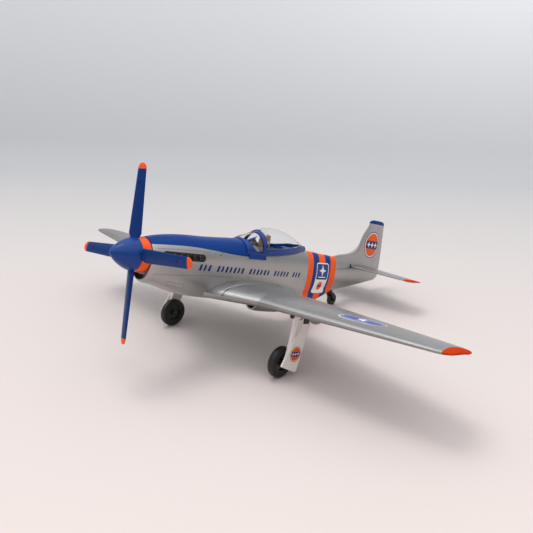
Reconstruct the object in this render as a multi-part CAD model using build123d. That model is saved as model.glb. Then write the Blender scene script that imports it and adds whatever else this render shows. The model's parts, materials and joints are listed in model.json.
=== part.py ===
from build123d import *
import os
from math import cos, pi, radians, sin, sqrt

# Die-cast model of a single-seat propeller fighter, 1:40, standing on its three wheels.
# Everything is drawn in the aeroplane's own datum frame first: X to port, Y aft from the tip of the
# spinner, Z up from the thrust line. The last step tips it to its standing attitude (nose up) and puts
# the tyres on Z = 0 with the outline centred on X = Y = 0. All lengths are millimetres.

# --- driving dimensions -------------------------------------------------------------------------
HALF_SPAN = 141.0
STANDING_ANGLE = 15.0          # nose-up angle of the thrust line when it stands on its wheels
GAP = 0.3                      # free space between pieces that move past each other
RUNNING = 0.05                 # radial clearance of a pin in its bore
WALL = 2.0                     # thickness of the fuselage casting
SKIN = 0.8                     # thickness of the clear mouldings

# spinner and propeller
SPINNER_TIP = -0.8
SPINNER_BACK = 12.6
SPINNER_RADIUS = 8.6
RING_END = 17.7                # aft face of the ring behind the spinner
RING_RADIUS = 9.0
PROP_PLANE = 12.5
PROP_RADIUS = 45.0
BLADE_COUNT = 4
BLADE_START = 10.2
BLADE_ROOT = (7.4, 2.6, 18.0)     # chord, thickness and pitch where the blade leaves its shank
BLADE_END = (5.5, 1.1, 11.0)      # the same where its rounded tip begins
BLADE_TIP_START = 42.2
BLADE_LEAN = -6.8              # angle of the upper blade from straight up, degrees
SHAFT_RADIUS = 1.2
COWL_FRONT = 18.0
CHIN_Z = -13.4                   # lowest point of the chin lip

# fuselage stations: (y, top, widest height, bottom, half width, power of top, power of bottom)
STATIONS = [
    (18.0, 9.1, 0.0, -12.9, 9.0, 2.0, 2.0),
    (19.2, 9.4, 0.0, -13.8, 9.4, 2.0, 2.0),
    (22.0, 10.1, -0.2, -14.4, 9.8, 2.0, 2.1),
    (30.0, 11.5, -0.5, -16.3, 10.5, 2.0, 2.2),
    (40.0, 12.4, -1.5, -18.8, 10.9, 2.1, 2.3),
    (52.0, 12.7, -2.5, -20.4, 11.1, 2.2, 2.4),
    (65.0, 13.2, -3.5, -21.2, 11.2, 2.3, 2.5),
    (82.0, 14.1, -4.5, -21.4, 11.2, 2.4, 2.5),
    (105.0, 13.5, -5.0, -21.4, 10.8, 2.4, 2.4),
    (125.0, 12.8, -5.0, -21.4, 9.6, 2.2, 2.4),
    (145.0, 12.1, -4.5, -20.4, 7.9, 2.0, 2.3),
    (160.0, 11.1, -3.8, -18.0, 6.6, 1.9, 2.1),
    (175.0, 10.3, -3.0, -15.3, 5.4, 1.9, 2.0),
    (190.0, 9.2, -2.2, -13.2, 4.3, 1.9, 2.0),
    (205.0, 8.2, -1.2, -10.6, 3.3, 1.9, 2.0),
    (220.0, 7.2, -0.2, -7.9, 2.4, 2.0, 2.0),
    (232.0, 6.5, 0.3, -5.6, 1.5, 2.0, 2.0),
    (239.0, 6.2, 1.2, -3.6, 0.8, 2.0, 2.0),
    (241.2, 5.6, 1.8, -1.6, 0.3, 2.0, 2.0),
]
CAVITY_RANGE = (20.5, 200.0)
CAVITY_FLOOR = -8.0            # the cavity stays above the wing that passes through the belly

# fin: (height, leading edge y, trailing edge y, half thickness)
FIN_SECTIONS = [
    (4.0, 168.0, 240.6, 1.3),
    (10.0, 177.5, 240.0, 1.35),
    (12.6, 189.5, 239.6, 1.5),
    (15.0, 199.2, 239.2, 1.6),
    (18.4, 204.6, 238.6, 1.55),
    (23.2, 207.8, 237.7, 1.45),
    (31.8, 211.4, 236.1, 1.2),
    (38.4, 214.6, 234.9, 1.0),
]
FIN_CAP = [
    (38.4, 214.6, 234.9, 1.0),
    (39.8, 215.9, 234.2, 0.9),
    (40.6, 217.8, 232.6, 0.7),
    (41.0, 220.6, 230.0, 0.35),
]

# wing planform: leading edge kinks at the end of the root extension
WING_ROOT_X = 17.6
WING_KINK_X = 36.0
WING_TIP_X = 134.5
ROOT_LE_Y = 61.0
KINK_LE_Y = 69.6
TIP_LE_Y = 75.2
LE_LINE = (-15.2, 0.067)       # leading edge height at x = 25 and its rise per mm of span
TE_LINE = (-14.2, 0.0509)
TE_Y = (127.6, -0.1938)        # trailing edge y at x = 25 and its sweep per mm of span
LINE_X = 25.0
WING_THICKNESS = (0.155, 0.120)
WING_CAMBER = 0.02
TE_BLUNT = 0.004
BELLY_RANGE = (63.5, 128.0)    # stretch of the belly that belongs to the wing casting
BELLY_TOP = -16.0
FAIRING_STEP = 0.12            # height of the fairing's edge above the wing
# fairing between wing and fuselage side: (y, reach across, height where it leaves the side)
FAIRING_STATIONS = [(63.4, 16.6, -13.2), (66.6, 17.6, -11.2), (72.0, 17.6, -9.4), (84.0, 17.6, -7.6),
                    (96.0, 17.6, -7.9), (108.0, 17.8, -9.4), (118.0, 18.2, -11.4), (126.0, 17.4, -13.3),
                    (133.0, 13.0, -14.9)]
ROOT_NOSE_BACK = 70.0

# tailplane
TAIL_HALF_SPAN = 49.8
TAIL_Z = 4.9
TAIL_LE = (198.5, 0.09)
TAIL_TE = (229.5, -0.17)
TAIL_THICKNESS = 0.085

# main undercarriage
FOLD_X = 51.5
FOLD_Z = -17.3
LEG_Y = 84.5
WHEEL_Z = -44.0
WHEEL_X = 47.6
TYRE_RADIUS = 8.8
TYRE_WIDTH = 4.0
HUB_RADIUS = 5.2
AXLE_RADIUS = 0.9
LUG_RADIUS = 2.2
LUG_FRONT = 82.0
LUG_BACK = 86.0
EAR_BACK = 88.4
PIN_RADIUS = 1.0
DOOR_X = 52.5                  # inner face of the door plate
DOOR_THICKNESS = 1.0

# tail wheel
TAIL_WHEEL_Y = 187.8
TAIL_TYRE_RADIUS = 4.4
TAIL_TYRE_WIDTH = 2.6

# cockpit
BOW_CENTRE_Z = 7.0
BOW_Y = (94.8, 97.9)
BOW_HALF_WIDTH = 10.4
BOW_HEIGHT = 13.5
BLOCK_FRONT = 83.8
BLOCK_BOTTOM = 4.6
CANOPY_FRONT = 98.2
# bubble: (y, height of its foot, half width, top)
CANOPY_SECTIONS = [
    (98.2, 10.6, 9.9, 20.9),
    (105.0, 11.0, 9.7, 22.7),
    (111.0, 11.6, 9.2, 23.1),
    (118.0, 12.2, 8.3, 22.3),
    (125.0, 12.9, 7.0, 20.5),
    (131.0, 13.5, 5.7, 18.4),
    (136.0, 13.9, 4.1, 16.4),
    (139.2, 14.1, 2.6, 14.9),
]
COCKPIT_OPENING = (85.0, 120.0, 6.6)    # front, back and half width
COCKPIT_CORNER = 3.0

# radiator scoop: (y, widest height, bottom, half width)
SCOOP_SECTIONS = [
    (104.0, -17.0, -28.3, 5.6),
    (110.0, -17.0, -29.2, 6.0),
    (118.0, -17.0, -29.7, 6.4),
    (132.0, -17.0, -29.6, 6.6),
    (145.0, -16.5, -27.7, 6.3),
    (155.0, -15.5, -25.0, 5.7),
    (163.0, -14.5, -22.0, 5.1),
    (172.0, -13.2, -18.3, 4.3),
    (181.0, -11.8, -14.6, 3.2),
]

SCREW_PLACES = [(5.0, 69.0), (-5.0, 69.0), (5.0, 98.0), (-5.0, 98.0)]
LOCATING_PINS = [(30.0, -14.0), (150.0, 10.4), (174.0, -11.6)]


# --- small helpers ------------------------------------------------------------------------------
def closed_face(points):
    """Planar face inside a smooth closed curve."""
    return Face(Wire([Edge.make_spline([Vector(*p) for p in points], periodic=True)]))


def blunt_face(points):
    """Planar face inside a smooth open curve closed by a short straight edge."""
    curve = Edge.make_spline([Vector(*p) for p in points])
    closing = Edge.make_line(Vector(*points[-1]), Vector(*points[0]))
    return Face(Wire([curve, closing]))


def polygon_face(points):
    """Planar face inside straight edges."""
    return Face(Wire(Polyline(*points, close=True).edges()))


def box_between(low, high):
    """Box given by its lowest and highest corners."""
    size = [b - a for a, b in zip(low, high)]
    middle = [(a + b) / 2 for a, b in zip(low, high)]
    return Pos(*middle) * Box(*size)


def rod(axis, start, length, radius, inner=0.0):
    """Cylinder, or tube when inner is given, from start along a datum axis."""
    direction = {"x": (1, 0, 0), "y": (0, 1, 0), "z": (0, 0, 1)}[axis]
    plane = Plane(origin=start, z_dir=direction)
    section = plane * Circle(radius)
    if inner > 0:
        section = section - plane * Circle(inner)
    return extrude(section, amount=length)


def superpoint(angle, half_width, height, power):
    """Point of a superellipse quadrant pair at an angle from the X axis."""
    c, s = cos(angle), sin(angle)
    x = half_width * abs(c) ** (2 / power) * (1 if c >= 0 else -1)
    z = height * abs(s) ** (2 / power) * (1 if s >= 0 else -1)
    return x, z


def mirrored(shape):
    """The same piece on the other side of the aeroplane."""
    return mirror(shape, about=Plane.YZ)


# --- fuselage -----------------------------------------------------------------------------------
def station_face(station, inset=0.0, floor=None, count=24):
    """Egg-shaped cross-section of the fuselage, optionally inset by a wall thickness."""
    y, top, middle, bottom, width, top_power, bottom_power = station
    top, bottom, width = top - inset, bottom + inset, width - inset
    if floor is not None:
        bottom = max(bottom, floor)
    middle = max(middle, bottom + 3.0)
    points = []
    for i in range(count):
        angle = 2 * pi * (i + 0.5) / count
        upper = sin(angle) >= 0
        height = top - middle if upper else middle - bottom
        x, z = superpoint(angle, width, height, top_power if upper else bottom_power)
        points.append((x, y, middle + z))
    return closed_face(points)


def fuselage_outer():
    return loft([station_face(s) for s in STATIONS])


def fuselage_cavity():
    inner = [s for s in STATIONS if CAVITY_RANGE[0] < s[0] < CAVITY_RANGE[1]]
    first = (CAVITY_RANGE[0],) + STATIONS[2][1:]
    return loft([station_face(s, WALL, CAVITY_FLOOR) for s in [first] + inner])


def symmetric_aerofoil(z, leading, trailing, half_thickness, count=9):
    """Horizontal section of the fin, blunt at its trailing edge."""
    chord = trailing - leading
    port = []
    for i in range(count):
        u = (1 - cos(pi * i / (count - 1))) / 2
        shape = 2.969 * sqrt(u) - 1.26 * u - 3.516 * u ** 2 + 2.843 * u ** 3 - 1.015 * u ** 4
        port.append((half_thickness * shape + 0.25 * half_thickness * u, leading + u * chord, z))
    starboard = [(-x, y, z) for x, y, z in port[1:]]
    return blunt_face(port[::-1] + starboard)


def fin():
    blade = loft([symmetric_aerofoil(*s) for s in FIN_SECTIONS])
    return blade + loft([symmetric_aerofoil(*s) for s in FIN_CAP])


def wing_top(x, y):
    """Height of the wing's upper surface."""
    leading, trailing = wing_leading(x), wing_trailing(x)
    chord = trailing - leading
    u = min(max((y - leading) / chord, 0.0), 1.0)
    share = x / HALF_SPAN
    thickness = WING_THICKNESS[0] + (WING_THICKNESS[1] - WING_THICKNESS[0]) * share
    crown = WING_CAMBER * (1 - ((u - 0.4) / (0.4 if u < 0.4 else 0.6)) ** 2)
    le_z = LE_LINE[0] + (x - LINE_X) * LE_LINE[1]
    te_z = TE_LINE[0] + (x - LINE_X) * TE_LINE[1]
    return le_z + (te_z - le_z) * u + (crown + aerofoil_half(u, thickness)) * chord


def root_fairing():
    """Flared skirts that carry the fuselage sides down onto the wing."""
    faces = []
    for y, reach, shoulder in FAIRING_STATIONS:
        foot = wing_top(reach, y) + FAIRING_STEP
        start = (9.0, y, shoulder + 2.4)
        bend = (11.5, y, shoulder - 0.5)
        drop = shoulder - foot
        middle = (11.5 + 0.36 * (reach - 11.5), y, foot + 0.40 * drop)
        end = (reach, y, foot)
        curve = Edge.make_spline([Vector(*p) for p in (start, bend, middle, end)])
        edges = [curve]
        corners = [end, (reach, y, foot - 2.0), (8.0, y, foot - 2.0), (8.0, y, shoulder + 2.4), start]
        for a, b in zip(corners, corners[1:]):
            edges.append(Edge.make_line(Vector(*a), Vector(*b)))
        faces.append(Face(Wire(edges)))
    port = loft(faces)
    return port, mirrored(port)


def root_nose():
    """Front of the wing root out to the fairing's end, which belongs to the fuselage casting."""
    stops = [(8.0, 0.060), (11.5, 0.020), (14.5, 0.0), (WING_ROOT_X, -0.006)]
    swollen = loft([wing_section(x, shrink, 1.06) for x, shrink in stops], ruled=True)
    port = swollen & root_nose_region()
    return port, mirrored(port)


def root_nose_region():
    return box_between((8.0, 40.0, BELLY_TOP), (WING_ROOT_X, ROOT_NOSE_BACK, 0.0))


def belly_block():
    """Region of the belly that belongs to the wing casting."""
    low = (-14.0, BELLY_RANGE[0], -40.0)
    high = (14.0, BELLY_RANGE[1], BELLY_TOP)
    return box_between(low, high)


# --- wing ---------------------------------------------------------------------------------------
def wing_leading(x):
    if x < WING_KINK_X:
        slope = (KINK_LE_Y - ROOT_LE_Y) / (WING_KINK_X - WING_ROOT_X)
        return KINK_LE_Y + (x - WING_KINK_X) * slope
    slope = (TIP_LE_Y - KINK_LE_Y) / (HALF_SPAN - 4.0 - WING_KINK_X)
    return KINK_LE_Y + (x - WING_KINK_X) * slope


def wing_trailing(x):
    return TE_Y[0] + (x - LINE_X) * TE_Y[1]


def aerofoil_half(u, thickness):
    """Half thickness of the section as a share of its chord."""
    shape = 0.2969 * sqrt(u) - 0.126 * u - 0.3516 * u ** 2 + 0.2843 * u ** 3 - 0.1036 * u ** 4
    return 5 * thickness * shape + TE_BLUNT * u


def aerofoil(x, leading, trailing, le_z, te_z, thickness, camber, count=13):
    """Vertical cambered section across the span at a given x."""
    chord = trailing - leading
    upper, lower = [], []
    for i in range(count):
        u = (1 - cos(pi * i / (count - 1))) / 2
        half = aerofoil_half(u, thickness)
        crown = camber * (1 - ((u - 0.4) / (0.4 if u < 0.4 else 0.6)) ** 2)
        y = leading + u * chord
        base = le_z + (te_z - le_z) * u
        upper.append((x, y, base + (crown + half) * chord))
        lower.append((x, y, base + (crown - half) * chord))
    return blunt_face(upper[::-1] + lower[1:])


def wing_section(x, shrink=0.0, flatten=1.0):
    """Wing section; near the tip the chord shrinks from both edges and flattens."""
    leading, trailing = wing_leading(x), wing_trailing(x)
    chord = trailing - leading
    leading += 0.30 * shrink * chord
    trailing -= 0.70 * shrink * chord
    share = x / HALF_SPAN
    thickness = WING_THICKNESS[0] + (WING_THICKNESS[1] - WING_THICKNESS[0]) * share
    le_z = LE_LINE[0] + (x - LINE_X) * LE_LINE[1]
    te_z = TE_LINE[0] + (x - LINE_X) * TE_LINE[1]
    return aerofoil(x, leading, trailing, le_z, te_z, thickness * flatten, WING_CAMBER)


def half_wing():
    inner = loft([wing_section(0.0), wing_section(WING_KINK_X)], ruled=True) - root_nose_region()
    inner -= box_between((-1.0, 40.0, BELLY_TOP), (8.1, ROOT_NOSE_BACK, 0.0))
    inner -= box_between((WING_ROOT_X - 0.1, 40.0, BELLY_TOP), (WING_ROOT_X + 0.35, 65.5, 0.0))
    outer = loft([wing_section(WING_KINK_X), wing_section(WING_TIP_X)], ruled=True)
    tip_stops = [(WING_TIP_X, 0.0, 1.0), (137.2, 0.05, 0.92), (139.3, 0.16, 0.80),
                 (140.5, 0.32, 0.62), (HALF_SPAN, 0.52, 0.35)]
    tip = loft([wing_section(*s) for s in tip_stops])
    return inner + outer + tip


def gear_bay():
    """Everything cut out of the port wing so that the leg, door and wheel can fold into it."""
    wheel_x = FOLD_X + (WHEEL_Z - FOLD_Z)
    wheel_top = FOLD_Z + (FOLD_X - WHEEL_X) + TYRE_WIDTH / 2 + 0.9
    well = rod("z", (wheel_x, LEG_Y, -40.0), wheel_top + 40.0, TYRE_RADIUS + 1.2)
    slot = box_between((wheel_x, 81.2, -40.0), (FOLD_X + 1.0, 87.0, FOLD_Z + 1.7))
    lug = rod("y", (FOLD_X, LUG_FRONT - 1.0, FOLD_Z), LUG_BACK - LUG_FRONT + 1.3, LUG_RADIUS + 0.4)
    hatch = box_between((FOLD_X - 33.0, 78.5, -40.0), (FOLD_X, 97.5, FOLD_Z - 0.7))
    return well + slot + lug + hatch


def gear_mount():
    """Ear that holds the fold pin, and the small fairing beside the door."""
    ear = rod("y", (FOLD_X, LUG_BACK + GAP, FOLD_Z), EAR_BACK - LUG_BACK - GAP, LUG_RADIUS)
    web = box_between((FOLD_X - 1.8, LUG_BACK + GAP, FOLD_Z), (FOLD_X + 1.8, EAR_BACK, FOLD_Z + 4.0))
    fairing = Pos(57.6, 94.5, -16.0) * scale(Sphere(1.0), by=(3.0, 6.0, 4.2))
    return ear + web + fairing


def screw(x, y):
    """Pan-head screw that comes up through the wing into the fuselage."""
    head = rod("z", (x, y, -20.5), 1.3, 2.0)
    cross = box_between((x - 1.2, y - 0.25, -20.6), (x + 1.2, y + 0.25, -20.1))
    cross += box_between((x - 0.25, y - 1.2, -20.6), (x + 0.25, y + 1.2, -20.1))
    return head - cross + rod("z", (x, y, -19.2), 15.0, 1.1)


def build_wing(outer_body):
    port = half_wing() - gear_bay() + gear_mount()
    port -= rod("y", (FOLD_X, LUG_BACK, FOLD_Z), EAR_BACK - LUG_BACK + 1.0, PIN_RADIUS)
    wing = port + mirrored(port) + (outer_body & belly_block())
    for x, y in SCREW_PLACES:
        wing -= rod("z", (x, y, -30.0), 10.8, 2.2)
        wing -= rod("z", (x, y, -19.5), 14.0, 1.3)
    return wing


# --- assembled casting, split on the centre plane ------------------------------------------------
def exhaust_slot(depth):
    """Long recess with round ends on the port side of the nose."""
    front, back, height, radius = 23.4, 51.0, 2.5, 2.0
    plane = Plane(origin=(depth, (front + back) / 2, height), x_dir=(0, 1, 0), z_dir=(1, 0, 0))
    return extrude(plane * SlotOverall(back - front, 2 * radius), amount=20.0)


def chin_mouth(inset, front, back):
    """Crescent under the spinner ring: the egg of the cowl lip less the round nose."""
    lip = (front, 8.9 - inset, 0.0, CHIN_Z + inset, 8.9 - inset, 2.0, 2.0)
    block = extrude(station_face(lip), amount=back - front, dir=(0, 1, 0))
    block -= rod("y", (0, front - 1, 0), back - front + 2, RING_RADIUS + 0.25)
    return block & box_between((-6.4, front, -15.0), (6.4, back, -9.3))


def cockpit_cut():
    front, back, half = COCKPIT_OPENING
    plane = Plane(origin=(0, (front + back) / 2, 3.0))
    return extrude(plane * RectangleRounded(2 * half, back - front, COCKPIT_CORNER), amount=20.0)


def build_casting(outer_body, tailplane):
    """Whole fuselage with the fin and the root fairings, hollowed and cut for its neighbours."""
    port_skirt, starboard_skirt = root_fairing()
    port_nose, starboard_nose = root_nose()
    body = outer_body + fin() + port_skirt + starboard_skirt + port_nose + starboard_nose
    body -= fuselage_cavity()
    body -= belly_block()
    body -= half_wing_envelope()
    body -= chin_mouth(0.9, COWL_FRONT - 0.5, COWL_FRONT + 5.0)
    body -= exhaust_slot(9.0)
    body -= mirrored(exhaust_slot(9.0))
    body -= cockpit_cut()
    body -= rod("y", (0, COWL_FRONT - 1, 0), 8.0, 3.5)
    body -= tailplane
    body -= box_between((-6, 197.2, TAIL_Z - 1.5), (6, 199.5, TAIL_Z + 1.5))
    body -= rod("z", (0, 184.4, -30.0), 20.0, 1.3)
    for x, y in SCREW_PLACES:
        body += rod("z", (x, y, CAVITY_FLOOR - 0.6), 4.4, 2.4)
        body -= rod("z", (x, y, -20.0), 15.8, 1.1)
    return body


def half_wing_envelope():
    """Plain wing, without its bays, for trimming the casting that sits on it."""
    port = loft([wing_section(0.0), wing_section(WING_KINK_X)], ruled=True) - root_nose_region()
    port -= box_between((-1.0, 40.0, BELLY_TOP), (8.1, ROOT_NOSE_BACK, 0.0))
    return port + mirrored(port)


def split_casting(body):
    """Port and starboard halves with locating pins and sockets across the joint."""
    side = box_between((0, -10, -80), (200, 300, 80))
    port = body & side
    starboard = body & mirrored(side)
    for y, z in LOCATING_PINS:
        starboard += rod("x", (-1.5, y, z), 2.9, 0.8)
        port -= rod("x", (-0.1, y, z), 1.7, 0.85)
    return largest(port), largest(starboard)


def largest(shape):
    """Keep the main solid of a casting."""
    return max(shape.solids(), key=lambda s: s.volume)


# --- nose ---------------------------------------------------------------------------------------
def spinner_profile(offset):
    """Points of the spinner's meridian, from the tip aft."""
    points = []
    for i in range(9):
        share = (i / 8) ** 1.6
        radius = SPINNER_RADIUS * (1 - (1 - share) ** 1.5) ** 0.75
        y = SPINNER_TIP + (SPINNER_BACK - SPINNER_TIP) * share
        points.append((max(radius - offset, 0.0), y + offset))
    return points


def revolved(points):
    """Solid of revolution about the thrust line from (radius, y) points, first and last on the axis."""
    curve = Edge.make_spline([Vector(r, y, 0) for r, y in points])
    end = points[-1]
    back = Edge.make_line(Vector(end[0], end[1], 0), Vector(0, end[1], 0))
    axis = Edge.make_line(Vector(0, end[1], 0), Vector(0, points[0][1], 0))
    return revolve(Face(Wire([curve, back, axis])), axis=Axis.Y)


def blade_section(radius, chord, thickness, pitch):
    """Elliptical section of the upper blade at a radius, turned to its pitch."""
    direction = (cos(radians(pitch)), sin(radians(pitch)), 0)
    plane = Plane(origin=(0, PROP_PLANE, radius), x_dir=direction, z_dir=(0, 0, 1))
    return (plane * Ellipse(chord / 2, thickness / 2)).face()


def blade():
    """Upper blade: a round shank, a long taper with straight edges, and a rounded tip."""
    shank = loft([blade_section(5.0, 5.2, 3.2, 17.0), blade_section(8.6, 5.6, 3.0, 17.0),
                  blade_section(BLADE_START, *BLADE_ROOT)], ruled=True)
    length = BLADE_TIP_START - BLADE_START
    stations = []
    for i in range(5):
        share = i / 4
        sizes = [a + (b - a) * share for a, b in zip(BLADE_ROOT, BLADE_END)]
        stations.append(blade_section(BLADE_START + length * share, *sizes))
    reach = PROP_RADIUS - BLADE_TIP_START
    tip = [stations[-1]]
    for share in (0.35, 0.62, 0.82, 0.94, 0.99):
        shrink = sqrt(1 - share ** 2)
        tip.append(blade_section(BLADE_TIP_START + reach * share, BLADE_END[0] * shrink,
                                 BLADE_END[1] * (0.5 + 0.5 * shrink), BLADE_END[2]))
    return shank + loft(stations, ruled=True) + loft(tip, ruled=True)


def build_propeller():
    hub = rod("y", (0, PROP_PLANE - 2.6, 0), 5.2, 6.2)
    for i in range(BLADE_COUNT):
        hub += Rot(Y=BLADE_LEAN + 360.0 * i / BLADE_COUNT) * blade()
    return hub - rod("y", (0, PROP_PLANE - 3, 0), 6.0, SHAFT_RADIUS)


def build_spinner(propeller):
    shell = revolved(spinner_profile(0.0)) - revolved(spinner_profile(1.1))
    return largest(shell - propeller)


def build_ring(propeller):
    profile = [(0, SPINNER_BACK), (SPINNER_RADIUS - 0.05, SPINNER_BACK), (RING_RADIUS - 0.1, 15.4),
               (RING_RADIUS, RING_END - 0.5), (RING_RADIUS - 0.3, RING_END), (0, RING_END)]
    face = Face(Wire(Polyline(*[(r, y, 0) for r, y in profile], close=True).edges()))
    ring = revolve(face, axis=Axis.Y)
    ring -= rod("y", (0, SPINNER_BACK - 1, 0), RING_END - SPINNER_BACK - 0.5, SPINNER_RADIUS - 1.1)
    ring -= rod("y", (0, SPINNER_BACK - 1, 0), 8.0, SHAFT_RADIUS)
    return largest(ring - propeller)


def build_nose_parts():
    bearing = rod("y", (0, COWL_FRONT, 0), 6.0, 3.5, SHAFT_RADIUS + RUNNING)
    bearing += rod("y", (0, COWL_FRONT + 2.5, 0), 2.0, 5.5, 3.4)
    shaft = rod("y", (0, 8.0, 0), 20.0, SHAFT_RADIUS)
    collar = rod("y", (0, COWL_FRONT + 6.0 + GAP, 0), 2.4, 2.8, SHAFT_RADIUS)
    bars = chin_mouth(0.9, COWL_FRONT + 1.2, COWL_FRONT + 2.0)
    for i in range(9):
        x = -6.0 + 1.5 * i
        bars -= box_between((x + 0.3, COWL_FRONT, -12.0), (x + 1.2, COWL_FRONT + 3, -10.0))
    return bearing, shaft, collar, bars


def exhaust():
    """Six short stub pipes on a base plate that fills the recess."""
    base = exhaust_slot(9.0) & box_between((8.9, 20, -2), (9.9, 54, 6))
    for i in range(6):
        y = 26.6 + 4.2 * i
        plane = Plane(origin=(9.6, y, 2.5), x_dir=(0, 1, 0), z_dir=(0.93, 0.36, 0))
        stub = extrude(plane * (RectangleRounded(3.2, 2.6, 1.0) - RectangleRounded(2.2, 1.7, 0.6)),
                       amount=0.9)
        base += stub
    return base


# --- cockpit ------------------------------------------------------------------------------------
def arch_points(y, foot, half_width, top, power=2.2, count=11):
    points = []
    for i in range(count):
        x, z = superpoint(pi * i / (count - 1), half_width, top - foot, power)
        points.append((x, y, foot + z))
    return points


def arch_face(y, foot, half_width, top, power=2.2):
    """Arch closed by a straight sill."""
    return blunt_face(arch_points(y, foot, half_width, top, power))


def windscreen_arch(y, inset=0.0):
    share = min(max((y - 82.0) / (BOW_Y[1] - 82.0), 0.0), 1.0)
    height = 7.4 + (BOW_HEIGHT - 7.4) * share ** 0.85
    width = 9.7 + (BOW_HALF_WIDTH - 9.7) * share
    return arch_face(y, BOW_CENTRE_Z, width - inset, BOW_CENTRE_Z + height - inset, 2.05)


def windscreen_shell(inset, front, back):
    stops = [front + (back - front) * i / 4 for i in range(5)]
    return loft([windscreen_arch(y, inset) for y in stops])


def build_windscreen(outer_body):
    """Blue frame (bow, base strip, side blocks, two bars) and the clear panes inside it."""
    trimmed = windscreen_shell(0.0, 82.0, BOW_Y[1]) - windscreen_shell(0.9, 81.9, BOW_Y[1] + 0.1)
    keep = box_between((-20, BOW_Y[0], -10), (20, BOW_Y[1], 40))
    lower = polygon_face([(0, 81.0, 0.0), (0, 81.0, 14.9), (0, 84.0, 14.9), (0, 87.4, 10.8),
                          (0, 90.8, 8.4), (0, BOW_Y[0] + 0.1, 8.8), (0, BOW_Y[0] + 0.1, 0.0)])
    keep += extrude(lower, amount=20.0, dir=(1, 0, 0), both=True)
    bar = polygon_face([(0, 82.5, 12.2), (0, 82.5, 14.4), (0, 95.0, 20.2), (0, 95.0, 18.6)])
    bars = extrude(bar, amount=20.0, dir=(1, 0, 0), both=True)
    bars &= box_between((4.7, 80, 0), (5.7, 96, 30)) + box_between((-5.7, 80, 0), (-4.7, 96, 30))
    frame = trimmed & (keep + bars)
    block = box_between((7.0, BLOCK_FRONT, BLOCK_BOTTOM), (10.9, BOW_Y[1], 8.9))
    block &= loft([station_face(s, -0.55) for s in STATIONS[6:10]])
    frame = frame + block + mirrored(block)
    glass = trimmed - frame
    glass &= box_between((-20, 82.0, 8.2), (20, BOW_Y[0], 40))
    return largest(frame - outer_body), (glass - outer_body)


def build_canopy():
    """Clear bubble and the blue rail it stands in; they slide aft together."""
    outside = loft([arch_face(*s) for s in CANOPY_SECTIONS])
    inner = []
    for y, foot, width, top in CANOPY_SECTIONS[:-1]:
        inner.append(arch_face(y, foot - 0.6, width - SKIN, top - SKIN))
    inner[0] = arch_face(CANOPY_FRONT - 0.5, *[CANOPY_SECTIONS[0][1] - 0.6, 9.9 - SKIN, 20.9 - SKIN])
    glass = outside - loft(inner)
    band = polygon_face([(0, CANOPY_FRONT, 7.0), (0, 110.5, 8.1), (0, 122.0, 9.4), (0, 137.5, 11.7),
                         (0, 144.8, 12.5), (0, 140.4, 14.9), (0, 134.0, 14.9), (0, 123.0, 13.2),
                         (0, 111.0, 12.1), (0, CANOPY_FRONT, 11.1)])
    slab = extrude(band, amount=20.0, dir=(1, 0, 0), both=True)
    rail = slab & (rail_block(0.0) - rail_block(1.3))
    envelope = loft([station_face(s, -0.32) for s in STATIONS[6:13]])
    rail = largest(rail - envelope)
    glass = largest(glass - rail - envelope)
    return rail, glass


def rail_block(inset):
    """Plan shape of the rail, leaning inwards as it rises."""
    faces = []
    for z, grow in ((5.0, 0.35), (17.0, -0.75)):
        sides = [(9.95, CANOPY_FRONT - 1.0 - inset), (9.9, 104.0), (9.5, 111.0), (8.6, 119.0),
                 (7.2, 127.0), (5.4, 134.5), (3.2, 140.6), (1.3, 144.2)]
        right = [(x + grow - inset * (1.0 if x > 3 else 0.6), y - (0 if x > 6 else 0.8 * inset), z)
                 for x, y in sides]
        right = [(max(x, 0.3), y, zz) for x, y, zz in right]
        left = [(-x, y, zz) for x, y, zz in right[::-1]]
        faces.append(blunt_face(right + left))
    return loft(faces, ruled=True)


def build_cockpit():
    front, back, half = COCKPIT_OPENING
    tub = box_between((-half + 0.1, front + 0.1, -4.0), (half - 0.1, back - 0.1, 9.6))
    tub = fillet(tub.edges().filter_by(Axis.Z), COCKPIT_CORNER - 0.1)
    tub -= box_between((-half + 1.1, front + 1.9, -3.0), (half - 1.1, 108.0, 10.0))
    deck = polygon_face([(0, 108.0, 9.0), (0, 108.0, 11.6), (0, 119.5, 10.6), (0, 119.5, 9.0)])
    tub += extrude(deck, amount=5.0, dir=(1, 0, 0), both=True)
    back_rest = polygon_face([(0, 102.3, 1.0), (0, 103.6, 18.4), (0, 104.4, 18.9), (0, 105.3, 18.4),
                              (0, 107.6, 1.0)])
    seat = extrude(back_rest, amount=3.6, dir=(1, 0, 0), both=True)
    seat += box_between((-3.6, 98.2, -1.0), (3.6, 103.5, 2.2))
    seat += box_between((-3.2, 98.6, -3.0), (3.2, 103.0, -1.0))
    seat -= box_between((-2.6, 99.0, 1.4), (2.6, 102.2, 3.0))
    hood = loft([arch_face(88.0, 4.0, 5.4, 12.2, 2.4), arch_face(92.0, 4.0, 5.4, 13.6, 2.4),
                 arch_face(97.0, 4.0, 5.0, 13.9, 2.4)])
    hood -= box_between((-4.4, 95.6, 3.0), (4.4, 98.0, 12.6))
    sight = box_between((-0.9, 94.0, 13.0), (0.9, 96.4, 14.8)) + rod("z", (0, 95.6, 14.6), 1.3, 0.5)
    panel = hood + sight
    for i in range(3):
        panel += rod("y", (-2.6 + 2.6 * i, 95.6, 8.6), 0.5, 1.05, 0.75)
    stick = rod("z", (0, 96.8, -3.0), 8.0, 0.45) + Pos(0, 96.8, 5.6) * Sphere(0.8)
    stick += rod("z", (0, 96.8, -3.0), 0.8, 1.1)
    return tub, seat, panel, stick


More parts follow.
